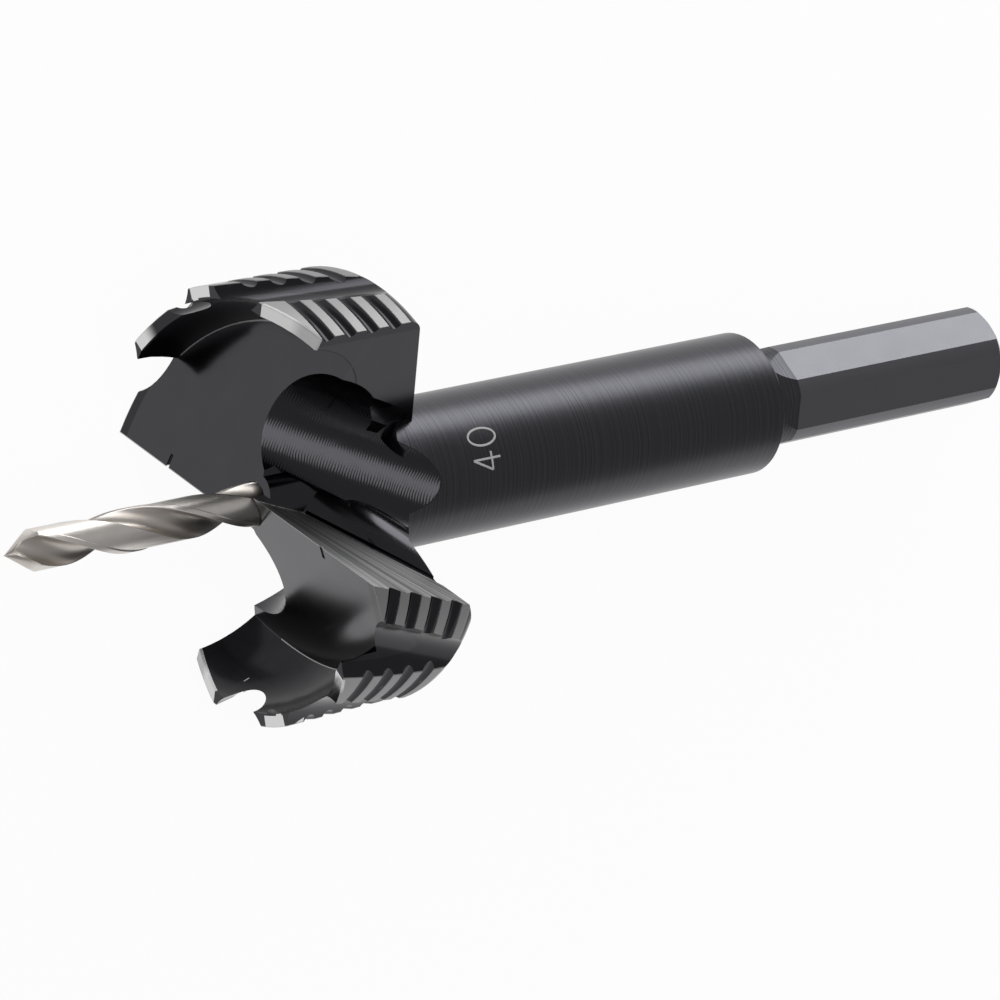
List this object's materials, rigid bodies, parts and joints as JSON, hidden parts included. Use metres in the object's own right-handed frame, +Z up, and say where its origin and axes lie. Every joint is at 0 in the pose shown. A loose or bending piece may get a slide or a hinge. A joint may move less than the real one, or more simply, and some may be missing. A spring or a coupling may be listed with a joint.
{
  "type": "forstner bit",
  "caption": "Wood boring bit with a winged, toothed head, ringed outside, twist drill in its centre, round body and hexagon shank, lying at rest.",
  "frame": {"origin": "on the floor that the bit rests on, below the middle of its bounding box", "axes": "+X along the bit towards the end of its shank, +Z up; the drill's point is at the -X end"},
  "size_m": [0.1126, 0.04, 0.0346],
  "materials": {
    "black_oxide_steel": "black oxide, ground bright on the rim's lands, the teeth and the rake faces",
    "bright_steel": "bright ground high-speed steel",
    "screw_steel": "black oxide"
  },
  "bodies": {
    "root": {"cutter_body": "black_oxide_steel", "pilot_drill": "bright_steel", "grub_screw": "screw_steel"}
  },
  "joints": []
}
